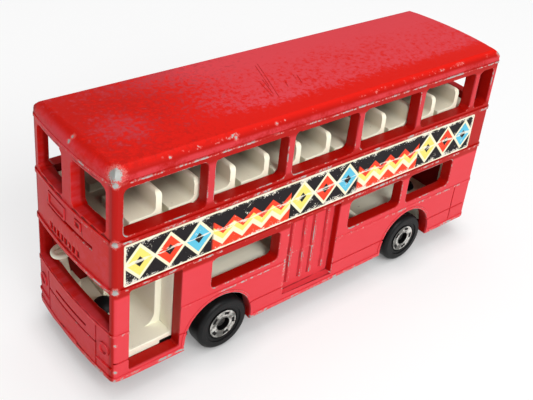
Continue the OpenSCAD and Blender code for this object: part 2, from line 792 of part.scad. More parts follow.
// Side view of one seat: a cushion that sweeps up into a rounded back
module seat_section(h) {
    sweep_r = 0.8;
    difference() {
        union() {
            square([seat_pitch - seat_gap, cushion_h]);
            square([back_t, h + cushion_h - back_t / 2]);
            translate([back_t / 2, h + cushion_h - back_t / 2]) circle(back_t / 2, $fn = 32);
            translate([back_t, cushion_h]) square(sweep_r);
        }
        translate([back_t + sweep_r, cushion_h + sweep_r]) circle(sweep_r, $fn = 32);
    }
}

// End view of a pair of seats each side of the gangway, with rounded tops
module seat_pair_outline(h) {
    seat_w = (deck_w - gangway_w) / 2;
    top_r = 1;
    for (s = [-1, 1]) translate([s * (gangway_w + seat_w) / 2, 0]) {
        translate([-seat_w / 2, -eps]) square([seat_w, cushion_h + h - top_r]);
        translate([-seat_w / 2 + top_r, -eps]) square([seat_w - 2 * top_r, cushion_h + h + top_r]);
        for (t = [-1, 1])
            translate([t * (seat_w / 2 - top_r), cushion_h + h - top_r]) circle(top_r, $fn = 32);
    }
}

// Rows of seats with the first back at x, on a floor at z
module seat_row(x, z, rows, h) {
    intersection() {
        translate([0, half_w, z]) rotate([90, 0, 0]) linear_extrude(body_w)
            for (i = [0:rows - 1]) translate([x - i * seat_pitch, -eps]) seat_section(h);
        translate([-half_l, 0, z]) rotate([90, 0, 90]) linear_extrude(body_len) seat_pair_outline(h);
    }
}

module upper_deck() {
    color(cream) {
        slab(-wall - inside_fit, upper_floor_z, upper_floor_top);
        seat_row(front_corner - first_seat_x, upper_floor_top, seat_rows, back_h);
    }
}

// Steering wheel on its leaning column, with the pedestal at its foot
module steering() {
    translate([steering_at[0] - pedestal[0] / 2, -half_deck, lower_floor_z])
        cube(pedestal + [0, 0, floor_t]);
    translate([steering_at[0], steering_at[1], lower_floor_top]) rotate([0, steering_lean, 0]) {
        cylinder(h = steering_h, r = column_r, $fn = 32);
        translate([0, 0, steering_h]) {
            rotate_extrude() translate([steering_d / 2 - rim_r, 0]) circle(rim_r, $fn = 24);
            cube([steering_d - 2 * rim_r, column_r, column_r], center = true);
        }
    }
}

// Wall behind the entrance and, a step further forward, behind the cab
module bulkhead() {
    h = upper_floor_z - lower_floor_z;
    translate([bulkhead_x - mould_t, -half_deck, lower_floor_z]) cube([mould_t, deck_w, h]);
    translate([bulkhead_x - mould_t, -half_deck, lower_floor_z])
        cube([mould_t + bulkhead_step, half_deck + step_y, h]);
    translate([bulkhead_x + bulkhead_step - eps, step_y, lower_floor_top - eps]) rotate([90, 0, 0])
        linear_extrude(half_deck + step_y) difference() {
            square(cab_fillet_r);
            translate([cab_fillet_r, cab_fillet_r]) circle(cab_fillet_r);
        }
    translate([bulkhead_x, -half_deck, lower_floor_z]) cube(driver_seat + [bulkhead_step, 0, floor_t]);
}

// Edge of the floor behind the entrance's sill, turned down to the base
module threshold() {
    from_x = bulkhead_x + threshold_gap;
    to_x = front_corner - entrance_x - 2 * inside_fit;
    translate([from_x, half_deck - threshold_w, base_top + threshold_fit])
        cube([to_x - from_x, threshold_w, lower_floor_top - eps - base_top - threshold_fit]);
}

// Bench box over one front wheel, or the hollow under it
module bench_box(side, in) {
    from_y = gangway_w / 2 + in;
    to_y = in > 0 ? half_w : half_deck;
    translate([bench_end_x + in, side > 0 ? from_y : -to_y, in > 0 ? lower_floor_z - 1 : lower_floor_z])
        cube([bulkhead_x - bench_end_x - 2 * in, to_y - from_y,
              bench_top_z - lower_floor_z + (in > 0 ? 1 - in : 0)]);
}

module lower_deck() {
    color(cream) {
        difference() {
            union() {
                slab(-wall - inside_fit, lower_floor_z, lower_floor_top);
                bulkhead();
                for (s = [-1, 1]) bench_box(s, 0);
                // Seats behind the middle door
                seat_row(front_corner - window_b_x - seat_pitch, lower_floor_top, 1, back_h + cushion_h);
                // Rounded box over the rear wheels
                intersection() {
                    translate([rear_axle_at, half_deck, axle_z]) rotate([90, 0, 0])
                        cylinder(h = deck_w, r = wheel_box_r);
                    translate([-half_l, -half_w, lower_floor_z]) cube([body_len, body_w, body_h]);
                }
                // Posts that carry the rear of the upper floor
                for (s = [-1, 1])
                    translate([post_x, s * (half_deck - post_r), lower_floor_z])
                        cylinder(h = upper_floor_z - lower_floor_z, r = post_r);
                // Boss under the front rivet's head
                translate([front_rivet_at, 0, lower_floor_z])
                    cylinder(h = floor_t + rivet_boss_h, d = rivet_head_d + 2 * boss_rim);
                steering();
                threshold();
            }
            for (s = [-1, 1]) bench_box(s, mould_t);
            // Hollow under the rear wheel box
            translate([rear_axle_at, half_w, axle_z]) rotate([90, 0, 0])
                cylinder(h = body_w, r = wheel_box_r - mould_t);
            // Groove over the front axle and holes for the rivets
            translate([front_axle_at - axle_r - channel_fit, -half_w, lower_floor_z - 1])
                cube([axle_d + 2 * channel_fit, body_w, axle_stop_z - lower_floor_z + 1]);
            for (x = [front_rivet_at, rear_rivet_at])
                translate([x, 0, lower_floor_z - 1])
                    cylinder(h = floor_t + rivet_boss_h + 2, r = rivet_hole_r);
        }
        // Ribs in the rear wheel box that stop the axle
        for (s = [-1, 1])
            translate([rear_axle_at - stop_w / 2, s * stop_y - mould_t / 2, axle_stop_z])
                cube([stop_w, mould_t, axle_z + wheel_box_r - mould_t / 2 - axle_stop_z]);
    }
}

module side_label() {
    corner = 0.3;
    z = (lower_rail_z + upper_rail_z) / 2;
    label_w = span - upper_first - label_tail;
    color(paper) translate([front_corner - upper_first - label_w / 2, half_w + label_t, z])
        rotate([90, 0, 0]) linear_extrude(label_t) rounded_rect(label_w, label_h, corner);
}

body_shell();
base_plate();
lower_deck();
upper_deck();
front_rivet();
rear_rivet();
front_axle();
rear_axle();
wheel_front_left();
wheel_front_right();
wheel_rear_left();
wheel_rear_right();
side_label();
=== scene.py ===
# Looks of a pocket-size die-cast double-deck toy bus, built around its packed CAD model.
import json
import math

import bmesh
import bpy
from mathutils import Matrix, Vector


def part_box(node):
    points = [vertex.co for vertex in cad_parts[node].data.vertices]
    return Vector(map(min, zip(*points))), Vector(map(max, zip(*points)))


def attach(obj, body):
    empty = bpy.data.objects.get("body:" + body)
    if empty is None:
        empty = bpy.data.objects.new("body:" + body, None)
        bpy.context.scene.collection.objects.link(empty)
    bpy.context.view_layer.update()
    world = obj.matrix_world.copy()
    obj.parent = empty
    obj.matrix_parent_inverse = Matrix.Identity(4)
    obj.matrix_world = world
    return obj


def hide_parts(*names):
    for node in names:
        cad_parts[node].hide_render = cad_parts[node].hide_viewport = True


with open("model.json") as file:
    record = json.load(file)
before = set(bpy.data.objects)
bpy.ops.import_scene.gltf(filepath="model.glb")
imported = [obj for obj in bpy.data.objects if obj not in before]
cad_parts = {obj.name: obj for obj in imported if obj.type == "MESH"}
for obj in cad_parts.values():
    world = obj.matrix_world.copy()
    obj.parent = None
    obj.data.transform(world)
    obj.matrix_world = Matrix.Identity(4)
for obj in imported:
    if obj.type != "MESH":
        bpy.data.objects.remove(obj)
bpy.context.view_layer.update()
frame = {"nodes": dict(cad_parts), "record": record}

bl_info = {
    "name": "Toy bus looks",
    "version": (1, 0, 0),
    "blender": (4, 5, 0),
    "location": "3D View > Sidebar > Toy bus",
    "description": "Worn paint, moulded plastics, foil hubs and a paper label for a die-cast toy bus",
    "category": "Object",
}

MM = 0.001
LABEL_LOW, LABEL_HIGH = (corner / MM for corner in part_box("side_label"))
WHEELS = [name for name in frame["nodes"] if name.startswith("wheel_")]
AXLES = ["front_axle", "rear_axle"]
RIVETS = ["front_rivet", "rear_rivet"]

# Mouldings of the casting whose paint wears first: level and half height in millimetres, weight of the wear
RIDGES = {
    "gutter": (34.85, 0.22, 0.66),
    "upper rail": (26.25, 0.34, 0.58),
    "lower rail": (18.8, 0.34, 0.6),
    "bead": (11.4, 0.28, 0.57),
    "skirt": (3.7, 0.45, 0.6),
}

# Folding doors, in millimetres: their middle, and the edge of their recess beyond it
DOORS_X = 2.4
DOOR_EDGE = 5.4

# Zones of the casting, in millimetres: two places between which a zone sets in or ends, or four for a band
DOOR_FACE_Y = (9.2, 9.35)
DOOR_HALF_X = (5.0, 5.2)
SIDE_Y = (10.3, 10.5)
FRONT_X = (36.2, 36.7)
REAR_X = (-36.4, -35.9)
FLAT_FACE_Y = (9.2, 10.0)
# Inside of the casting, which takes painted shade: its ends, its sides and its ceiling
INSIDE_X = (-35.8, -35.3, 35.3, 35.8)
INSIDE_Y = (8.55, 8.75)
CEILING_Z = (35.1, 35.4)
ROOF_Z = (35.9, 36.8)
CORNICE_Y = (9.6, 10)
CORNICE_Z = (35.05, 35.15, 35.6, 36)
POSTS_X = (33.5, 34.5)
POSTS_Z = (27.3, 28, 33.2, 34)
# Low sides, below this: the zone that takes a painted reflection of the floor
LOW_SIDE_Z = (17.4, 17.9)
JAMB_Z = (4, 5, 17, 17.6)

# Label's print, in millimetres: lengths of a group, a zigzag and a lozenge, and the soft edge of the inks
PRINT_GROUP = 13.72
ZIGZAG_PITCH = 3.43
LOZENGE_PITCH = 4.573
PRINT_BLUR = 0.1

# Widest edge roundings of the smaller pieces
BASE_EDGE = 0.1 * MM
TYRE_EDGE = 0.12 * MM
WIRE_EDGE = 0.15 * MM
PAPER_EDGE = 0.02 * MM

# Limits of the edge rounding: lengths and areas that count as none, bends, and how often a step is repeated
WELD = 0.002 * MM
NO_LENGTH = 1e-8
NO_AREA = 1e-10
FLAT_BEND = math.radians(0.05)
SHARP_BEND = math.radians(30)
SHADED_BEND = math.radians(34)
STRAIGHT_ON_SINE = 0.35
FOLDED_COSINE = 0.3
MOST_FACES = 24
MOST_TRIES = 8

# Half the width of the widest panel line that counts as a groove
GROOVE_HALF = 0.35 * MM

# Floor: half its side, the share of plain white that the camera sees, and the reach of the contact shadow
FLOOR_HALF = 1.5
FLOOR_WHITE = 0.58
CONTACT_REACH = 5 * MM

# Lamps: place and diameter in metres, and watts; all point at the same place
LAMPS = {
    "key": ((0.06, 0.55, 0.43), 0.4, 3.5),
    "top": ((-0.1, -0.1, 0.7), 0.6, 2.1),
}
LAMP_AIM = Vector((0, 0, 0.02))

# Skies: the axis along which each fades, the two heights or sides between which it does, the strength at each
SKIES = {
    "light": (1, -0.5, 0.6, 0.22, 0.6),
    "mirrored": (2, 0.1, 0.5, 0.6, 0.06),
}


def colour(label, text, default):
    """Setting for a colour."""
    return bpy.props.FloatVectorProperty(
        name=label, description=text, subtype="COLOR", size=3, min=0, max=1, default=default)


def length(label, text, default):
    """Setting for a length, with its default in millimetres."""
    return bpy.props.FloatProperty(
        name=label, description=text, subtype="DISTANCE", unit="LENGTH", min=0, precision=5,
        default=default * MM)


def share(label, text, default):
    """Setting for a share from 0 to 1."""
    return bpy.props.FloatProperty(
        name=label, description=text, subtype="FACTOR", min=0, max=1, default=default)


class BusPaint(bpy.types.PropertyGroup):
    """Red paint of the casting"""
    red: colour("Red", "Colour of the sound paint", (0.68, 0.008, 0.003))
    # Deep red: the painted shade of the upper sides and reveals, and the real colour of the scratches
    shade_and_scratch_red: colour("Deep red", "Colour of the sheltered paint of the upper sides and the window reveals",
                 (0.41, 0.004, 0.0015))
    # Film: colour of real dust and scuffs, and of a painted reflection of the white floor on the low sides
    # and ends
    dust_and_sheen: colour("Film", "Colour of the paint under dust and fine scuffs", (0.68, 0.057, 0.074))
    # Shade: colour of the painted shade inside the casting and in the grooves, and of the smudges and the
    # darker inner corners
    shade: colour("Shade", "Colour of the dark inside, of smudges and of dirt in corners and grooves",
                  (0.13, 0.004, 0.003))
    zinc: colour("Zinc", "Colour of the bare metal in the chips", (0.46, 0.47, 0.45))
    worn: colour("Worn", "Colour of thinned paint round the chips", (0.74, 0.19, 0.17))
    gloss: share("Roughness", "Roughness of the sound paint", 0.3)
    chips: share("Chips", "How much of the outer edges is chipped", 0.5)
    edge: length("Edge rounding", "Widest rounding of the casting's edges", 0.26)


class BusPlastic(bpy.types.PropertyGroup):
    """Moulded plastics of the bus"""
    cream: colour("Cream", "Colour of the upper interior moulding", (0.94, 0.93, 0.73))
    # Pale cream: the lower moulding a little lighter, painted light that brightens the dimmer lower deck
    pale: colour("Pale cream", "Colour of the lower interior moulding", (0.96, 0.95, 0.77))
    # Grime: colour of the stains and dust, and of the painted shade in the interior
    grime_and_shade: colour("Grime", "Colour of the dirt in the interior's corners", (0.11, 0.09, 0.055))
    black: colour("Black", "Colour of the wheels and the base", (0.006, 0.0063, 0.0066))
    # Sunk black: painted shade in the hub's groove
    sunk: colour("Sunk black", "Colour of the wheels within the hub's groove", (0.0012, 0.0012, 0.0013))
    scuff: colour("Scuff", "Colour of scuffed black plastic", (0.05, 0.05, 0.05))
    edge: length("Edge rounding", "Widest rounding of the mouldings' edges", 0.2)


class BusHub(bpy.types.PropertyGroup):
    """Bright foil and steel wires of the wheels"""
    foil: colour("Foil", "Colour of the foil", (0.80, 0.80, 0.75))
    dull: colour("Dull foil", "Colour of the foil where it is rubbed dull", (0.10, 0.098, 0.088))
    steel: colour("Steel", "Colour of the axle wires", (0.16, 0.15, 0.14))
    tarnish: colour("Tarnish", "Colour of the axle wires where they are tarnished", (0.06, 0.058, 0.055))
    inner: length("Inner radius", "Radius of the hole in the foil", 1.12)
    slot_inner: length("Slot inner radius", "Inner radius of the slots", 1.6)
    slot_outer: length("Slot outer radius", "Outer radius of the slots", 2.12)
    outer: length("Outer radius", "Outer radius of the foil", 2.36)
    thick: length("Thickness", "Thickness of the foil", 0.05)
    depth: length("Depth", "Depth of the foil's back behind the tyre's outer face", 0.15)
    # Groove radius: also where the painted shade in the wheels' black ends
    groove: length("Groove radius", "Radius of the groove round the hub", 2.75)
    spoke: share("Spoke", "Share of each sector that is foil and not slot", 0.6)
    slots: bpy.props.IntProperty(name="Slots", description="Slots round the foil", min=3, default=5)


class BusLabel(bpy.types.PropertyGroup):
    """Printed paper label"""
    paper: colour("Paper", "Colour of the paper and its border", (0.82, 0.76, 0.54))
    ink: colour("Black ink", "Colour of the dark ground", (0.010, 0.007, 0.009))
    red: colour("Red ink", "Colour of the red figures", (0.80, 0.05, 0.015))
    yellow: colour("Yellow ink", "Colour of the yellow figures", (0.85, 0.69, 0.15))
    blue: colour("Blue ink", "Colour of the light blue figures", (0.10, 0.48, 0.66))
    rubbed: colour("Rubbed paper", "Colour of the paper where the print is rubbed off", (0.84, 0.80, 0.68))


class BusStage(bpy.types.PropertyGroup):
    """Camera, lights and floor"""
    camera_at: bpy.props.FloatVectorProperty(
        name="Camera", description="Place of the camera", subtype="TRANSLATION", unit="LENGTH", size=3,
        default=(0.07926, 0.08207, 0.08969))
    camera_turn: bpy.props.FloatVectorProperty(
        name="Turn", description="Turn of the camera", subtype="EULER", unit="ROTATION", size=3,
        default=tuple(math.radians(a) for a in (60.9936, -5.2092, 140.7895)))
    lens: bpy.props.FloatProperty(
        name="Lens", description="Focal length for a 36 mm frame", subtype="DISTANCE_CAMERA", default=56.846)
    shift: bpy.props.FloatVectorProperty(
        name="Shift", description="Shift of the frame, as the photograph is cropped", size=2,
        default=(0.00368, -0.13656))
    floor: colour("Floor", "Colour of the floor", (0.92, 0.92, 0.92))


def settings(name):
    """One group of settings, from the scene."""
    return getattr(bpy.context.scene, name)


class Value:
    """A number that varies over a surface; sums and products of such numbers make nodes."""

    def __init__(self, finish, socket):
        self.finish = finish
        self.socket = socket

    def __add__(self, other):
        return self.finish.math("ADD", self, other)

    def __radd__(self, other):
        return self.finish.math("ADD", other, self)

    def __sub__(self, other):
        return self.finish.math("SUBTRACT", self, other)

    def __rsub__(self, other):
        return self.finish.math("SUBTRACT", other, self)

    def __mul__(self, other):
        return self.finish.math("MULTIPLY", self, other)

    def __rmul__(self, other):
        return self.finish.math("MULTIPLY", other, self)

    def __truediv__(self, other):
        return self.finish.math("DIVIDE", self, other)

    def __abs__(self):
        return self.finish.math("ABSOLUTE", self)

    def most(self, other):
        """The larger of two values, place by place."""
        return self.finish.math("MAXIMUM", self, other)

    def least(self, other):
        """The smaller of two values, place by place."""
        return self.finish.math("MINIMUM", self, other)

    def step(self, low, high):
        """0 below low, 1 above high, smooth between."""
        return self.finish.step(self, low, high)

    def below(self, low, high):
        """1 below low, 0 above high, smooth between."""
        return 1 - self.step(low, high)

    def band(self, low_start, low_end, high_start, high_end):
        """1 between low_end and high_start, 0 beyond the other two places, smooth between."""
        return self.step(low_start, low_end) * self.below(high_start, high_end)


class Finish:
    """A material and its node tree, with places in millimetres of the bus's own frame."""

    def __init__(self, name):
        self.material = bpy.data.materials.new(name)
        self.material.use_nodes = True
        self.nodes = self.material.node_tree.nodes
        self.links = self.material.node_tree.links
        self.nodes.clear()
        output = self.nodes.new("ShaderNodeOutputMaterial")
        self.surface = self.nodes.new("ShaderNodeBsdfPrincipled")
        self.links.new(self.surface.outputs["BSDF"], output.inputs["Surface"])
        place = self.nodes.new("ShaderNodeTexCoord").outputs["Object"]
        scale = self.nodes.new("ShaderNodeVectorMath")
        scale.operation = "SCALE"
        scale.inputs["Scale"].default_value = 1 / MM
        self.links.new(place, scale.inputs[0])
        self.place = scale.outputs[0]
        split = self.nodes.new("ShaderNodeSeparateXYZ")
        self.links.new(self.place, split.inputs[0])
        self.x, self.y, self.z = (Value(self, out) for out in split.outputs)

    def put(self, socket, value):
        """Links or sets a socket, as the value asks."""
        if isinstance(value, Value):
            value = value.socket
        if isinstance(value, bpy.types.NodeSocket):
            self.links.new(value, socket)
        elif hasattr(value, "__len__") and socket.type == "RGBA" and len(value) == 3:
            socket.default_value = (*value, 1)
        else:
            socket.default_value = value

    def set(self, **sockets):
        """Sets the surface shader's sockets; a _ stands for a space."""
        for name, value in sockets.items():
            self.put(self.surface.inputs[name.replace("_", " ")], value)

    def math(self, operation, *values):
        """A Math node on values and numbers."""
        node = self.nodes.new("ShaderNodeMath")
        node.operation = operation
        for socket, value in zip(node.inputs, values):
            self.put(socket, value)
        return Value(self, node.outputs[0])

    def step(self, value, low, high):
        """A smooth step from 0 at low to 1 at high."""
        node = self.nodes.new("ShaderNodeMapRange")
        node.interpolation_type = "SMOOTHSTEP"
        self.put(node.inputs["Value"], value)
        self.put(node.inputs["From Min"], low)
        self.put(node.inputs["From Max"], high)
        return Value(self, node.outputs["Result"])

    def attribute(self, name):
        """An attribute of the mesh as a value."""
        node = self.nodes.new("ShaderNodeAttribute")
        node.attribute_name = name
        return Value(self, node.outputs["Fac"])

    def noise(self, per_mm, detail=2.0, rough=0.5, shift=0.0, stretch=None, turn=(0, 0, 0)):
        """Cloudy noise from 0 to 1 with per_mm waves in each millimetre."""
        node = self.nodes.new("ShaderNodeTexNoise")
        node.inputs["Scale"].default_value = per_mm
        node.inputs["Detail"].default_value = detail
        node.inputs["Roughness"].default_value = rough
        mapping = self.nodes.new("ShaderNodeMapping")
        mapping.inputs["Location"].default_value = (shift, shift * 0.7, -shift * 1.3)
        mapping.inputs["Rotation"].default_value = turn
        mapping.inputs["Scale"].default_value = stretch or (1, 1, 1)
        self.links.new(self.place, mapping.inputs["Vector"])
        self.links.new(mapping.outputs["Vector"], node.inputs["Vector"])
        return Value(self, node.outputs["Fac"])

    def distance(self, point):
        """Distance to a point, in millimetres."""
        node = self.nodes.new("ShaderNodeVectorMath")
        node.operation = "DISTANCE"
        self.links.new(self.place, node.inputs[0])
        node.inputs[1].default_value = point
        return Value(self, node.outputs["Value"])

    def mix(self, factor, a, b):
        """Colour that is a where the factor is 0 and b where it is 1."""
        node = self.nodes.new("ShaderNodeMix")
        node.data_type = "RGBA"
        self.put(node.inputs[0], factor)
        self.put(node.inputs[6], a)
        self.put(node.inputs[7], b)
        return node.outputs[2]

    def bump(self, height, depth):
        """Relief of the given depth in millimetres where height is 1."""
        node = self.nodes.new("ShaderNodeBump")
        node.inputs["Distance"].default_value = depth * MM
        self.put(node.inputs["Height"], height)
        self.links.new(node.outputs["Normal"], self.surface.inputs["Normal"])


# Larger chips in the paint, each a place on the casting and a radius in millimetres
CHIPS = [
    ((36.7, 10.2, 36.2), 1.15),
    ((36.9, 10.6, 34.9), 0.5),
    ((37.5, 0.4, 36.0), 0.3),
    ((37.1, 0.5, 36.8), 0.36),
    ((29.1, 10.3, 36.3), 0.24),
    ((27.1, 10.1, 36.6), 0.18),
    ((19.1, 10.4, 36.1), 0.3),
    ((12.2, 10.3, 36.3), 0.26),
    ((10.7, 10.2, 36.4), 0.18),
    ((-6.9, 10.3, 36.3), 0.22),
    ((-36.4, 10.2, 36.2), 0.5),
    ((-3.0, 10.6, 33.3), 0.3),
    ((7.7, 10.7, 16.4), 0.22),
    ((5.0, 10.7, 13.6), 0.2),
    ((36.9, 10.6, 26.3), 0.5),
    ((36.9, 10.6, 18.9), 0.5),
    ((36.8, 10.6, 9.8), 0.26),
    ((36.8, 10.6, 5.1), 0.3),
]

# Straight scratches in the roof, seen from above: start and end of each, in millimetres
SCRATCHES = [
    ((3.5, -5.2), (8.0, 5.7)),
    ((4.3, -4.6), (7.2, 2.6)),
    ((7.3, 0.0), (8.7, 5.3)),
    ((6.4, -0.4), (8.1, 4.6)),
    ((3.6, 1.4), (4.8, 3.9)),
    ((0.8, 0.9), (2.2, 4.0)),
    ((1.3, 0.5), (2.1, 2.6)),
]

# Length over which a scratch fades at each end, and the two half widths between which it does at its sides
SCRATCH_FADE = 0.8
SCRATCH_HALF = (0.05, 0.13)


def scratch_lines(f):
    """1 along the straight scratches and 0 elsewhere."""
    lines = 0
    for start, end in SCRATCHES:
        run = Vector(end) - Vector(start)
        way = run.normalized()
        x, y = f.x - start[0], f.y - start[1]
        along = x * way.x + y * way.y
        across = abs(y * way.x - x * way.y)
        faded = along.band(0, SCRATCH_FADE, run.length - SCRATCH_FADE, run.length)
        lines = across.below(*SCRATCH_HALF) * faded + lines
    return lines


def red_enamel():
    """Red paint: deeper red in painted shade on the upper sides and reveals, and dark inside with painted
    shade. It is hazed by dust and scuffs, with a painted reflection of the floor on the low sides and ends,
    and chipped to the bare zinc.
    """
    paint = settings("bus_paint")
    f = Finish("red_enamel")
    wear = f.attribute("wear")
    broad = f.noise(0.07, 3, 0.55)
    patch = f.noise(0.28, 3, 0.6, 17)
    grain = f.noise(2.6, 4, 0.65, 31)
    speck = f.noise(7, 2, 0.5, 47)

    # Zones of the casting
    doors = f.y.step(*DOOR_FACE_Y) * abs(f.x - DOORS_X).below(*DOOR_HALF_X)
    sides = abs(f.y).step(*SIDE_Y).most(doors)
    ends = f.x.step(*FRONT_X).most(f.x.below(*REAR_X))
    outside = sides.most(ends)
    # Inside the casting: painted shade, a dark colour where little light reaches
    inside = abs(f.y).below(*INSIDE_Y) * f.x.band(*INSIDE_X) * f.z.below(*CEILING_Z)
    roof = f.z.step(*ROOF_Z)
    face = ends * abs(f.y).below(*FLAT_FACE_Y)
    cornice = f.y.step(*CORNICE_Y) * f.z.band(*CORNICE_Z)
    posts = sides * f.z.band(*POSTS_Z) * f.x.below(*POSTS_X)

    # Chips, where an edge or a ridge meets high noise, and at the listed places
    ridge = 0
    for height, half, weight in RIDGES.values():
        ridge = abs(f.z - height).below(half * 0.4, half) * weight + ridge
    rolled = f.y.step(9.5, 9.9) * abs(f.z - 36.4).below(0.2, 0.6) * 0.48
    jamb = sides * abs(f.x - DOORS_X - DOOR_EDGE).below(0.15, 0.5) * f.z.band(*JAMB_Z)
    edge = (wear.step(0.08, 0.6) * 0.62).most(ridge * outside).most(rolled).most(jamb * 0.58)
    near = f.y.step(-6, 9) * 0.12
    level = edge + patch * 0.8 + f.noise(0.9, 3, 0.6, 59) * 0.5 + grain * 0.6 + near + (paint.chips - 0.5)
    nearest = f.distance(CHIPS[0][0]) / CHIPS[0][1]
    for place, radius in CHIPS[1:]:
        nearest = nearest.least(f.distance(place) / radius)
    ragged = nearest + grain * 1.5 + speck * 1.2
    chip = level.step(1.72, 1.78).most(ragged.below(2.05, 2.15))
    thin = level.step(1.62, 1.75).most(ragged.below(2.2, 2.9))

    # Dust and scuffs, a painted reflection of the floor as a pale haze on the low sides and ends, smudges,
    # scratches, darker inner corners and painted shade in the grooves
    scuffs = f.noise(0.9, 5, 0.7, 5, (0.25, 1, 1), (0, 0, 0.35))
    mottle = f.noise(1.3, 3, 0.6, 83)
    cover = f.x.below(2, 34) * f.y.below(5, 9.2) * 0.53 + f.y.below(-9.5, -1) * 0.32
    cover = cover + f.distance((31.8, 2.4, 37)).below(1, 8) * 0.34
    haze = cover - 1.22 + broad * 0.45 + mottle * 1.1 + grain * 0.9
    dust_and_sheen = roof * haze.step(0.22, 0.62)
    # Low sides: a painted reflection of the floor, strongest low down
    low = sides * f.z.below(*LOW_SIDE_Z) * (0.8 + broad * 0.4 - scuffs * 0.2)
    dust_and_sheen = dust_and_sheen.most(low).most(posts * 0.65).most(cornice * (patch + grain * 0.6).step(0.55, 0.9) * 0.65)
    # Flat ends: a painted reflection of the floor, in patches
    dust_and_sheen = dust_and_sheen.most(face * (1 - roof) * (broad + scuffs).step(0.7, 1.2) * 0.9)
    # Painted shade: everything but the roof, the flat ends and the low sides takes the darker red
    shaded = (1 - roof) * (1 - face) * (1 - low)
    smudge = roof * (f.x * 0.012 - f.y * 0.01 + mottle * 0.8 + grain * 0.4).step(0.75, 1.05)
    scratch = scratch_lines(f) * roof * (grain * 0.7 + speck * 0.7).step(0.5, 0.75)
    # Grooves: painted shade on the narrow floors of the panel lines
    groove = f.attribute("groove") * f.z.below(34, 35)
    dirt_and_shade = ((-1 * wear).step(0.1, 1) * patch.step(0.3, 0.6)).most(groove)

    # Colours, from the lowest layer up
    # Painted shade: the darker red where the shaded mask is 1
    base = f.mix(shaded, paint.red, paint.shade_and_scratch_red)
    # Dust, scuffs and a painted reflection of the floor
    base = f.mix(dust_and_sheen * 0.9, base, paint.dust_and_sheen)
    # Painted shade inside the casting
    base = f.mix(inside * 0.8, base, paint.shade)
    base = f.mix(smudge * 0.3, base, paint.shade)
    # Darker in the rounded inner corners, in patches, and painted shade in the grooves
    base = f.mix(dirt_and_shade * 0.75, base, paint.shade)
    base = f.mix(scratch * 0.85, base, paint.shade_and_scratch_red)
    base = f.mix(thin * 0.6, base, paint.worn)
    base = f.mix(chip, base, paint.zinc)
    f.set(Base_Color=base,
          Metallic=chip * 0.55,
          Specular_IOR_Level=0.14,
          Roughness=paint.gloss + broad * 0.1 + scuffs * 0.12 + dust_and_sheen * 0.1 + chip * 0.12)
    f.bump(grain * 0.1 + f.noise(0.8, 2, 0.5, 3) * 0.35 - chip * 0.8, 0.03)
    return f.material


def cream_plastic():
    """Cream plastic, darkened by painted shade towards the middle of the decks, far more on the upper deck,
    darker in its inner corners, with stains and dust.
    """
    plastic = settings("bus_plastic")
    f = Finish("cream_plastic")
    wear = f.attribute("wear")
    broad = f.noise(0.12, 4, 0.6, 7)
    grain = f.noise(3.5, 4, 0.65, 13)
    speck = f.noise(1.7, 2, 0.5, 29)
    # Darker in the rounded inner corners, in patches
    corner = (-1 * wear).step(0.05, 1) * broad.step(0.3, 0.65)
    stain = (broad * 0.8 + grain * 0.4).step(0.62, 0.95) * 0.22
    dust = speck.step(0.72, 0.78) * 0.35
    # Painted shade: darker towards the middle of the decks, far more on the upper deck
    depth = abs(f.y).below(2.5, 8.8) * (0.12 + f.z.step(18, 20) * 0.72) * (0.75 + broad * 0.5)
    # The lower moulding's paler cream is painted light
    base = f.mix(f.z.step(17.5, 18.5), plastic.pale, plastic.cream)
    # Stains, painted shade towards the middle, and darker inner corners
    base = f.mix(stain.most(corner * 0.5).most(depth), base, plastic.grime_and_shade)
    base = f.mix(dust, base, plastic.grime_and_shade)
    f.set(Base_Color=base, Roughness=0.42 + broad * 0.15 + grain * 0.1)
    f.bump(grain * 0.5 + broad, 0.012)
    return f.material


def axle_distance(f):
    """Distance to the nearer axle's line, in millimetres."""
    centres = [(low + high) / (2 * MM) for low, high in (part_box(node) for node in WHEELS)]
    front, rear = max(c.x for c in centres), min(c.x for c in centres)
    along = abs(f.x - (front + rear) / 2) - (front - rear) / 2
    up = f.z - centres[0].z
    return f.math("SQRT", along * along + up * up)


def black_plastic(name, rough, hub_shadow_radius=0.0):
    """Scuffed black plastic, darkened with painted shade and without scuffs within hub_shadow_radius
    millimetres of an axle.
    """
    plastic = settings("bus_plastic")
    f = Finish(name)
    wear = f.attribute("wear")
    broad = f.noise(0.35, 4, 0.6, 3)
    grain = f.noise(4.5, 4, 0.7, 19)
    rub = (wear.step(0.1, 1) * 0.6 + broad * 0.8 + grain * 0.4).step(0.95, 1.35)
    dust = (broad * 0.7 + grain * 0.5).step(0.62, 0.9) * 0.15
    base = f.mix(rub.most(dust), plastic.black, plastic.scuff)
    if hub_shadow_radius:
        # Painted shade in the hub's groove
        base = f.mix(axle_distance(f).step(hub_shadow_radius - 0.1, hub_shadow_radius), plastic.sunk, base)
    f.set(Base_Color=base,
          Roughness=rough + broad * 0.15 + rub * 0.15,
          Specular_IOR_Level=0.17)
    f.bump(grain * 0.6 + broad, 0.015)
    return f.material


def hub_foil():
    """Stamped foil with a raised ring, read from the distance to the nearer axle."""
    hub = settings("bus_hub")
    f = Finish("hub_foil")
    radius = axle_distance(f)
    stamped = radius.step(1.12, 1.4) - radius.step(1.5, 1.75) * 0.7 + radius.step(2.05, 2.3) * 0.5
    rub = f.noise(0.75, 3, 0.5, 9)
    fine = f.noise(5, 3, 0.6, 23)
    dull = (rub + fine * 0.25).step(0.52, 0.72) * 0.9
    base = f.mix(dull.most(radius.below(1.1, 1.28)), hub.foil, hub.dull)
    f.set(Base_Color=base, Metallic=1.0, Roughness=0.16 + rub * 0.2)
    f.bump(stamped + rub * 0.8 + fine * 0.3, 0.09)
    return f.material


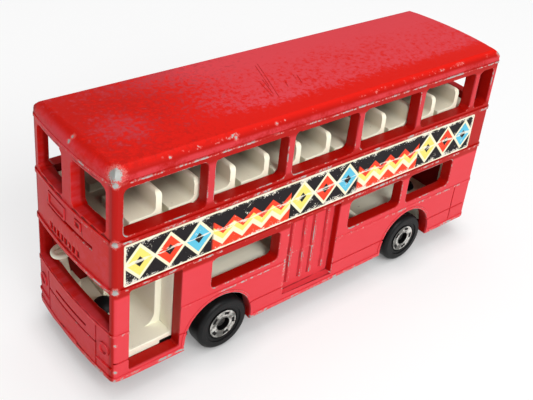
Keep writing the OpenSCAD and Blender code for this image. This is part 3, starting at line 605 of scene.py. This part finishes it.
def dark_steel():
    """Dulled steel of the axle wires."""
    hub = settings("bus_hub")
    f = Finish("dark_steel")
    rub = f.noise(2.5, 4, 0.65, 41)
    base = f.mix(rub.step(0.4, 0.75), hub.tarnish, hub.steel)
    f.set(Base_Color=base, Metallic=0.9, Roughness=0.4 + rub * 0.2)
    f.bump(rub, 0.015)
    return f.material


def printed_label():
    """Print on paper, rubbed through along the edges and along a streak."""
    label = settings("bus_label")
    f = Finish("printed_label")
    along = LABEL_HIGH.x - f.x
    up = f.z - LABEL_LOW.z
    tall = LABEL_HIGH.z - LABEL_LOW.z
    wide = LABEL_HIGH.x - LABEL_LOW.x
    grain = f.noise(5, 3, 0.6, 3)
    rub = f.noise(0.5, 4, 0.7, 53)
    fibre = f.noise(1.1, 4, 0.65, 67, (0.3, 1, 1.6))

    # Bands of zigzags between groups of lozenges, on a dark ground
    zigzags = f.math("FRACT", along / (2 * PRINT_GROUP)).step(0.49, 0.51)
    wave = abs(f.math("FRACT", along / ZIGZAG_PITCH) - 0.5) * 2
    rise = up - wave * 1.5
    base = label.ink
    for height, ink in ((3.3, label.red), (2.4, label.yellow), (1.5, label.paper), (0.6, label.red)):
        base = f.mix(rise.below(height, height + PRINT_BLUR), base, ink)
    column = along / LOZENGE_PITCH
    cell = f.math("FLOOR", column)
    across = abs(column - cell - 0.5) * 2
    lozenge = across + abs(up - tall / 2) / 2.6
    which = f.math("MODULO", cell, 3.0)
    fill = f.mix(which.step(0.4, 0.6), label.yellow, label.red)
    fill = f.mix(which.step(1.4, 1.6), fill, label.blue)
    row = label.ink
    for size, ink in ((1.08, label.paper), (0.84, fill), (0.3, label.ink)):
        row = f.mix(lozenge.below(size, size + 0.04), row, ink)
    base = f.mix(zigzags, row, base)

    # Paper border, and print rubbed through
    border = along.least(wide - along).least(up.least(tall - up))
    base = f.mix((border + grain * 0.3).below(0.36, 0.44), base, label.paper)
    streak = (abs(up - 3.4 + fibre * 2 - 1) * 1.4 + rub).below(0.62, 0.78)
    bare = (rub * 0.6 + grain * 0.5 + border.below(0.1, 1.2) * 0.14).step(0.66, 0.7)
    base = f.mix((streak * 0.75).most(bare * 0.85), base, label.rubbed)
    f.set(Base_Color=base, Roughness=0.55 + rub * 0.2, Specular_IOR_Level=0.2)
    f.bump(fibre * 0.5 + grain * 0.3 - bare * 0.5, 0.015)
    return f.material


def white_floor():
    """Pale floor that the camera and reflections see nearly white, with the shadow kept."""
    stage = settings("bus_stage")
    material = bpy.data.materials.new("white_floor")
    material.use_nodes = True
    nodes, links = material.node_tree.nodes, material.node_tree.links
    nodes.clear()
    output = nodes.new("ShaderNodeOutputMaterial")
    matt = nodes.new("ShaderNodeBsdfDiffuse")
    matt.inputs["Color"].default_value = (*stage.floor, 1)
    glow = nodes.new("ShaderNodeEmission")
    contact = nodes.new("ShaderNodeAmbientOcclusion")
    contact.inputs["Distance"].default_value = CONTACT_REACH
    links.new(contact.outputs["Color"], glow.inputs["Color"])
    path = nodes.new("ShaderNodeLightPath")
    seen = nodes.new("ShaderNodeMath")
    seen.operation = "MAXIMUM"
    links.new(path.outputs["Is Camera Ray"], seen.inputs[0])
    links.new(path.outputs["Is Glossy Ray"], seen.inputs[1])
    part = nodes.new("ShaderNodeMath")
    part.operation = "MULTIPLY"
    part.inputs[1].default_value = FLOOR_WHITE
    links.new(seen.outputs[0], part.inputs[0])
    mix = nodes.new("ShaderNodeMixShader")
    links.new(part.outputs[0], mix.inputs[0])
    links.new(matt.outputs[0], mix.inputs[1])
    links.new(glow.outputs[0], mix.inputs[2])
    links.new(mix.outputs[0], output.inputs["Surface"])
    return material


def face_room(edge, face, along, limit, sharp):
    """Room on a face beside an edge: how far a straight walk over smooth edges gets before a sharp one."""
    loop = next(loop for loop in edge.link_loops if loop.face == face)
    start, end = loop.vert.co, loop.link_loop_next.vert.co
    point = start.lerp(end, along)
    step = face.normal.cross(end - start).normalized()
    walked = 0.0
    entry = edge
    for _ in range(MOST_FACES):
        side = face.normal.cross(step)
        best = None
        for other in face.edges:
            if other == entry:
                continue
            a, b = (v.co - point for v in other.verts)
            across_a, across_b = a.dot(side), b.dot(side)
            if (across_a > 0) == (across_b > 0):
                continue
            t = across_a / (across_a - across_b)
            reach = a.dot(step) * (1 - t) + b.dot(step) * t
            if reach > NO_LENGTH and (best is None or reach < best[0]):
                best = (reach, other)
        if best is None:
            return walked
        walked += best[0]
        if walked > limit or best[1] in sharp:
            return walked
        nexts = [other for other in best[1].link_faces if other != face]
        if not nexts:
            return walked
        point = point + step * best[0]
        face, entry = nexts[0], best[1]
        step = (step - face.normal * step.dot(face.normal)).normalized()
    return walked


def end_room(edge, face):
    """Room for a rounding at the two ends of an edge, set by the short edges that it meets on a face."""
    rooms = []
    loop = next(loop for loop in edge.link_loops if loop.face == face)
    way = (loop.link_loop_next.vert.co - loop.vert.co).normalized()
    for other in (loop.link_loop_prev, loop.link_loop_next):
        meets = other.link_loop_next.vert.co - other.vert.co
        sine = way.cross(meets.normalized()).length
        if sine > STRAIGHT_ON_SINE:
            rooms.append(meets.length * sine)
    return min(rooms, default=1.0)


def softened(node, widest, segments=2, share_of_room=0.42, least=0.03):
    """Copy of a CAD node, its sharp edges rounded as far as there is room, marked for wear and grooves."""
    bm = bmesh.new()
    bm.from_mesh(frame["nodes"][node].data)
    bmesh.ops.remove_doubles(bm, verts=bm.verts, dist=WELD)
    bmesh.ops.dissolve_limit(bm, angle_limit=FLAT_BEND, verts=bm.verts, edges=bm.edges)
    bm.normal_update()
    weight = bm.edges.layers.float.new("bevel_weight_edge")
    groove = bm.faces.layers.float.new("groove")
    sharp = {e for e in bm.edges if len(e.link_faces) == 2 and e.calc_face_angle() > SHARP_BEND}
    mark_grooves(bm, groove, sharp)
    limit = widest / share_of_room
    for edge in sharp:
        room = min(face_room(edge, face, along, limit, sharp)
                   for face in edge.link_faces for along in (0.08, 0.5, 0.92))
        room = min(room, *(end_room(edge, face) for face in edge.link_faces))
        width = min(widest, share_of_room * room)
        if width > least * MM:
            edge[weight] = width / widest
    piece = rounded(bm, node + "_worn", widest, segments)
    for _ in range(MOST_TRIES):
        folds = folded_places(piece.data)
        spoilt = [edge for edge in sharp if edge[weight] > 0 and near_any(edge, folds, 2 * widest)]
        if not spoilt:
            break
        for edge in spoilt:
            edge[weight] = 0
        bpy.data.objects.remove(piece)
        piece = rounded(bm, node + "_worn", widest, segments)
    bm.free()
    mark_wear(piece)
    finish_normals(piece)
    return piece


def mark_grooves(bm, groove, sharp):
    """Writes the groove attribute: 1 on narrow floors that lie between inner corners, 0 elsewhere."""
    for face in bm.faces:
        walls = [edge for edge in face.edges if edge in sharp]
        narrow = face.calc_area() < GROOVE_HALF * sum(edge.calc_length() for edge in walls)
        sunk = all(edge.calc_face_angle_signed() < 0 for edge in walls)
        face[groove] = 1.0 if narrow and sunk else 0.0


def rounded(bm, name, widest, segments):
    """Piece made from a bmesh whose weighted edges are rounded; the new faces have material index 1."""
    mesh = bpy.data.meshes.new(name)
    bm.to_mesh(mesh)
    for part in ("flat", "rounded"):
        mesh.materials.append(bpy.data.materials.new(part))
    piece = bpy.data.objects.new(name, mesh)
    bpy.context.scene.collection.objects.link(piece)
    bevel = piece.modifiers.new("Rounding", "BEVEL")
    bevel.limit_method = "WEIGHT"
    bevel.width = widest
    bevel.segments = segments
    bevel.use_clamp_overlap = False
    bevel.material = 1
    apply_modifiers(piece)
    return piece


def folded_places(mesh):
    """Corners of the triangles that lie the wrong way round in their faces."""
    mesh.calc_loop_triangles()
    places = []
    for triangle in mesh.loop_triangles:
        face = mesh.polygons[triangle.polygon_index]
        corners = [mesh.vertices[i].co for i in triangle.vertices]
        normal = (corners[1] - corners[0]).cross(corners[2] - corners[0])
        if normal.length > NO_AREA and normal.normalized().dot(face.normal) < FOLDED_COSINE:
            places.extend(corners)
    return places


def near_any(edge, places, reach):
    """Whether an edge passes any of the places within the given reach."""
    start, end = (v.co for v in edge.verts)
    way = end - start
    for place in places:
        t = min(1, max(0, (place - start).dot(way) / way.length_squared))
        if (start + way * t - place).length < reach:
            return True
    return False


def apply_modifiers(piece):
    """Bakes a piece's modifiers into a plain mesh."""
    ready = piece.evaluated_get(bpy.context.evaluated_depsgraph_get())
    old = piece.data
    piece.data = bpy.data.meshes.new_from_object(ready)
    piece.modifiers.clear()
    bpy.data.meshes.remove(old)


def mark_wear(piece):
    """Writes the wear attribute: 1 along rounded outer edges, -1 along rounded inner corners, 0 elsewhere."""
    mesh = piece.data
    bm = bmesh.new()
    bm.from_mesh(mesh)
    bm.normal_update()
    wear = bm.verts.layers.float.new("wear")
    for vert in bm.verts:
        if vert.link_faces and all(face.material_index == 1 for face in vert.link_faces):
            bends = [edge.calc_face_angle_signed(0) for edge in vert.link_edges]
            vert[wear] = 1.0 if max(bends) > -min(bends) else -1.0
    for face in bm.faces:
        face.material_index = 0
        face.smooth = True
    for edge in bm.edges:
        edge.smooth = len(edge.link_faces) != 2 or edge.calc_face_angle() < SHADED_BEND
    bm.to_mesh(mesh)
    bm.free()
    for material in list(mesh.materials):
        bpy.data.materials.remove(material)
    mesh.materials.clear()


def finish_normals(piece):
    """Shades the flat faces flat and the roundings round."""
    weigh = piece.modifiers.new("Flats", "WEIGHTED_NORMAL")
    weigh.mode = "FACE_AREA"
    weigh.keep_sharp = True
    apply_modifiers(piece)


def stand_for(node, piece, material):
    """The finished piece takes the place of its CAD node."""
    piece.data.materials.clear()
    piece.data.materials.append(material)
    body = next(name for name, members in frame["record"]["behaviour"]["bodies"].items() if node in members)
    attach(piece, body)
    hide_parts(node)


class BUS_OT_casting(bpy.types.Operator):
    """Casting in chipped red paint"""
    bl_idname = "toybus.casting"
    bl_label = "Casting"

    def execute(self, context):
        piece = softened("body_shell", settings("bus_paint").edge)
        stand_for("body_shell", piece, red_enamel())
        return {"FINISHED"}


class BUS_OT_interior(bpy.types.Operator):
    """Cream mouldings of the two decks"""
    bl_idname = "toybus.interior"
    bl_label = "Interior"

    def execute(self, context):
        cream = cream_plastic()
        for node in ("lower_deck", "upper_deck"):
            stand_for(node, softened(node, settings("bus_plastic").edge), cream)
        return {"FINISHED"}


class BUS_OT_base(bpy.types.Operator):
    """Black base plate with its two rivets"""
    bl_idname = "toybus.base"
    bl_label = "Base and rivets"

    def execute(self, context):
        black = black_plastic("base_black", 0.42)
        for node in ["base_plate", *RIVETS]:
            stand_for(node, softened(node, BASE_EDGE), black)
        return {"FINISHED"}


class BUS_OT_wheels(bpy.types.Operator):
    """Tyres and headed axle wires"""
    bl_idname = "toybus.wheels"
    bl_label = "Wheels and axles"

    def execute(self, context):
        black = black_plastic("wheel_black", 0.36, settings("bus_hub").groove / MM)
        for node in WHEELS:
            stand_for(node, softened(node, TYRE_EDGE), black)
        steel = dark_steel()
        for node in AXLES:
            stand_for(node, softened(node, WIRE_EDGE, 3), steel)
        return {"FINISHED"}


class Tree:
    """A Geometry Nodes tree, built with short calls."""

    def __init__(self, name):
        self.group = bpy.data.node_groups.new(name, "GeometryNodeTree")
        self.identifiers = {}
        self.source = None

    def inputs(self, **kinds):
        """Makes the group's inputs, and its one output; a _ stands for a space."""
        for name, kind in kinds.items():
            item = self.group.interface.new_socket(name.replace("_", " "), in_out="INPUT", socket_type=kind)
            self.identifiers[name] = item.identifier
        self.group.interface.new_socket("Geometry", in_out="OUTPUT", socket_type="NodeSocketGeometry")
        self.source = self.group.nodes.new("NodeGroupInput")
        return {name: self.source.outputs[name.replace("_", " ")] for name in kinds}

    def node(self, kind, options=None, **values):
        """A node with its options, and with its inputs linked or set."""
        node = self.group.nodes.new(kind)
        for name, value in (options or {}).items():
            setattr(node, name, value)
        for name, value in values.items():
            self.put(node.inputs[name.replace("_", " ")], value)
        return node

    def put(self, socket, value):
        """Links or sets a socket, as the value asks."""
        if isinstance(value, bpy.types.NodeSocket):
            self.group.links.new(value, socket)
        else:
            socket.default_value = value

    def math(self, operation, *values, clamp=False):
        """A Math node on sockets and numbers."""
        node = self.group.nodes.new("ShaderNodeMath")
        node.operation = operation
        node.use_clamp = clamp
        for socket, value in zip(node.inputs, values):
            self.put(socket, value)
        return node.outputs[0]


def foil_tree():
    """Ring of foil with a row of slots: one sector is cut from a grid, bent round and repeated."""
    tree = Tree("slotted_foil")
    number, whole = "NodeSocketFloat", "NodeSocketInt"
    given = tree.inputs(Inner=number, Slot_Inner=number, Slot_Outer=number, Outer=number, Thick=number,
                        Slots=whole, Spoke_Share=number, Place="NodeSocketVector", Turn="NodeSocketVector",
                        Material="NodeSocketMaterial")
    rows = 3
    grid = tree.node("GeometryNodeMeshGrid", Size_X=1.0, Size_Y=1.0, Vertices_X=11, Vertices_Y=rows + 1)
    place = tree.node("ShaderNodeSeparateXYZ", Vector=tree.node("GeometryNodeInputPosition").outputs[0])
    x, y = place.outputs[0], place.outputs[1]
    middle = tree.math("LESS_THAN", tree.math("ABSOLUTE", y), 0.5 / rows)
    spoke = tree.math("MULTIPLY", given["Spoke_Share"], 0.5)
    beside = tree.math("GREATER_THAN", tree.math("ABSOLUTE", x), spoke)
    cut = tree.node("GeometryNodeDeleteGeometry", {"domain": "FACE"}, Geometry=grid.outputs["Mesh"],
                    Selection=tree.math("MULTIPLY", middle, beside))
    level = tree.math("MULTIPLY", tree.math("ADD", y, 0.5), float(rows))
    radius = given["Inner"]
    steps = (given["Inner"], given["Slot_Inner"], given["Slot_Outer"], given["Outer"])
    for row, (low, high) in enumerate(zip(steps, steps[1:])):
        part = tree.math("SUBTRACT", level, float(row), clamp=True)
        radius = tree.math("ADD", radius, tree.math("MULTIPLY", part, tree.math("SUBTRACT", high, low)))
    sector = tree.math("DIVIDE", 2 * math.pi, given["Slots"])
    angle = tree.math("MULTIPLY", x, tree.math("MULTIPLY", sector, -1.0))
    bent = tree.node("ShaderNodeCombineXYZ",
                     X=tree.math("MULTIPLY", radius, tree.math("COSINE", angle)),
                     Y=tree.math("MULTIPLY", radius, tree.math("SINE", angle)))
    curved = tree.node("GeometryNodeSetPosition", Geometry=cut.outputs[0], Position=bent.outputs[0])
    points = tree.node("GeometryNodePoints", Count=given["Slots"])
    spin = tree.node("ShaderNodeCombineXYZ",
                     Z=tree.math("MULTIPLY", tree.node("GeometryNodeInputIndex").outputs[0], sector))
    ring = tree.node("GeometryNodeInstanceOnPoints", Points=points.outputs[0], Instance=curved.outputs[0],
                     Rotation=spin.outputs[0])
    sectors = tree.node("GeometryNodeRealizeInstances", Geometry=ring.outputs[0])
    flat = tree.node("GeometryNodeMergeByDistance", Geometry=sectors.outputs[0], Distance=WELD)
    top = tree.node("GeometryNodeExtrudeMesh", Mesh=flat.outputs[0], Offset_Scale=given["Thick"])
    top.inputs["Individual"].default_value = False
    under = tree.node("GeometryNodeFlipFaces", Mesh=flat.outputs[0])
    both = tree.node("GeometryNodeJoinGeometry")
    tree.group.links.new(top.outputs["Mesh"], both.inputs[0])
    tree.group.links.new(under.outputs[0], both.inputs[0])
    closed = tree.node("GeometryNodeMergeByDistance", Geometry=both.outputs[0], Distance=WELD)
    placed = tree.node("GeometryNodeTransform", Geometry=closed.outputs[0], Translation=given["Place"],
                       Rotation=given["Turn"])
    real = tree.node("GeometryNodeRealizeInstances", Geometry=placed.outputs[0])
    painted = tree.node("GeometryNodeSetMaterial", Geometry=real.outputs[0], Material=given["Material"])
    out = tree.group.nodes.new("NodeGroupOutput")
    tree.group.links.new(painted.outputs[0], out.inputs[0])
    return tree


class BUS_OT_hub_foils(bpy.types.Operator):
    """Slotted ring of bright foil on each wheel"""
    bl_idname = "toybus.hub_foils"
    bl_label = "Hub foils"

    def execute(self, context):
        hub = settings("bus_hub")
        tree = foil_tree()
        foil = hub_foil()
        for node in WHEELS:
            low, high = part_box(node)
            middle = (low + high) / 2
            side = 1 if middle.y > 0 else -1
            face_y = (high.y if side > 0 else low.y) - side * hub.depth
            piece = bpy.data.objects.new("foil_" + node, bpy.data.meshes.new("foil_" + node))
            bpy.context.scene.collection.objects.link(piece)
            ring = piece.modifiers.new("Foil", "NODES")
            ring.node_group = tree.group
            values = {"Inner": hub.inner, "Slot_Inner": hub.slot_inner, "Slot_Outer": hub.slot_outer,
                      "Outer": hub.outer, "Thick": hub.thick, "Slots": hub.slots, "Spoke_Share": hub.spoke,
                      "Place": (middle.x, face_y, middle.z), "Turn": (-side * math.pi / 2, 0.0, 0.0),
                      "Material": foil}
            for name, value in values.items():
                ring[tree.identifiers[name]] = value
            apply_modifiers(piece)
            if not piece.data.polygons:
                raise RuntimeError("the hub foil came out empty")
            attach(piece, node)
        return {"FINISHED"}


class BUS_OT_side_label(bpy.types.Operator):
    """Printed paper label between the rails of the entrance side"""
    bl_idname = "toybus.side_label"
    bl_label = "Side label"

    def execute(self, context):
        stand_for("side_label", softened("side_label", PAPER_EDGE), printed_label())
        return {"FINISHED"}


class BUS_OT_stage(bpy.types.Operator):
    """Floor, soft lights, world and camera"""
    bl_idname = "toybus.stage"
    bl_label = "Stage"

    def execute(self, context):
        self.floor()
        self.lights()
        self.world()
        self.camera()
        context.scene.view_settings.view_transform = "Standard"
        return {"FINISHED"}

    def floor(self):
        """Plain floor under the bus."""
        mesh = bpy.data.meshes.new("floor")
        corners = [(x * FLOOR_HALF, y * FLOOR_HALF, 0) for x, y in ((-1, -1), (1, -1), (1, 1), (-1, 1))]
        mesh.from_pydata(corners, [], [(0, 1, 2, 3)])
        mesh.materials.append(white_floor())
        piece = bpy.data.objects.new("floor", mesh)
        bpy.context.scene.collection.objects.link(piece)

    def lights(self):
        """Round soft lamps."""
        for name, (place, size, watts) in LAMPS.items():
            lamp = bpy.data.lights.new(name, "AREA")
            lamp.shape = "DISK"
            lamp.size = size
            lamp.energy = watts
            light = bpy.data.objects.new(name, lamp)
            light.location = place
            light.rotation_euler = (LAMP_AIM - Vector(place)).to_track_quat("-Z", "Y").to_euler()
            bpy.context.scene.collection.objects.link(light)

    def world(self):
        """Soft sky, brighter on the entrance side, pale low down in reflections, and white to the camera."""
        world = bpy.data.worlds.new("studio")
        world.use_nodes = True
        nodes, links = world.node_tree.nodes, world.node_tree.links
        nodes.clear()
        output = nodes.new("ShaderNodeOutputWorld")
        plain, mirrored, white = (nodes.new("ShaderNodeBackground") for _ in range(3))
        way = nodes.new("ShaderNodeSeparateXYZ")
        links.new(nodes.new("ShaderNodeTexCoord").outputs["Generated"], way.inputs[0])
        for sky, name in ((plain, "light"), (mirrored, "mirrored")):
            axis, low, high, at_low, at_high = SKIES[name]
            fade = nodes.new("ShaderNodeMapRange")
            fade.interpolation_type = "SMOOTHSTEP"
            ranges = {"From Min": low, "From Max": high, "To Min": at_low, "To Max": at_high}
            for socket, value in ranges.items():
                fade.inputs[socket].default_value = value
            links.new(way.outputs[axis], fade.inputs["Value"])
            links.new(fade.outputs["Result"], sky.inputs["Strength"])
        path = nodes.new("ShaderNodeLightPath")
        shown = plain
        for kind, other in (("Is Glossy Ray", mirrored), ("Is Camera Ray", white)):
            mix = nodes.new("ShaderNodeMixShader")
            links.new(path.outputs[kind], mix.inputs[0])
            links.new(shown.outputs[0], mix.inputs[1])
            links.new(other.outputs[0], mix.inputs[2])
            shown = mix
        links.new(shown.outputs[0], output.inputs["Surface"])
        bpy.context.scene.world = world

    def camera(self):
        """The photograph's camera."""
        stage = settings("bus_stage")
        lens = bpy.data.cameras.new("camera")
        lens.lens = stage.lens
        lens.sensor_width = 36
        lens.shift_x, lens.shift_y = stage.shift
        lens.clip_start = 0.001
        camera = bpy.data.objects.new("camera", lens)
        camera.location = stage.camera_at
        camera.rotation_euler = stage.camera_turn
        bpy.context.scene.collection.objects.link(camera)
        bpy.context.scene.camera = camera


GROUPS = {"bus_paint": BusPaint, "bus_plastic": BusPlastic, "bus_hub": BusHub, "bus_label": BusLabel,
          "bus_stage": BusStage}
STEPS = [BUS_OT_casting, BUS_OT_interior, BUS_OT_base, BUS_OT_wheels, BUS_OT_hub_foils, BUS_OT_side_label,
         BUS_OT_stage]


class BUS_PT_panel(bpy.types.Panel):
    """Steps and settings of the toy bus"""
    bl_idname = "BUS_PT_panel"
    bl_label = "Toy bus"
    bl_space_type = "VIEW_3D"
    bl_region_type = "UI"
    bl_category = "Toy bus"

    def draw(self, context):
        for step in STEPS:
            self.layout.operator(step.bl_idname)
        for name, group in GROUPS.items():
            box = self.layout.box()
            box.label(text=group.__doc__)
            for prop in group.__annotations__:
                box.prop(getattr(context.scene, name), prop)


def register():
    """Adds the settings, the steps and the panel."""
    for group in GROUPS.values():
        bpy.utils.register_class(group)
    for step in STEPS:
        bpy.utils.register_class(step)
    bpy.utils.register_class(BUS_PT_panel)
    for name, group in GROUPS.items():
        setattr(bpy.types.Scene, name, bpy.props.PointerProperty(type=group))


def unregister():
    """Takes the settings, the steps and the panel away again."""
    for name in GROUPS:
        delattr(bpy.types.Scene, name)
    bpy.utils.unregister_class(BUS_PT_panel)
    for step in reversed(STEPS):
        bpy.utils.unregister_class(step)
    for group in reversed(GROUPS.values()):
        bpy.utils.unregister_class(group)


def main():
    """Builds the whole scene."""
    register()
    bpy.ops.toybus.casting()
    bpy.ops.toybus.interior()
    bpy.ops.toybus.base()
    bpy.ops.toybus.wheels()
    bpy.ops.toybus.hub_foils()
    bpy.ops.toybus.side_label()
    bpy.ops.toybus.stage()


if __name__ == "__main__":
    main()
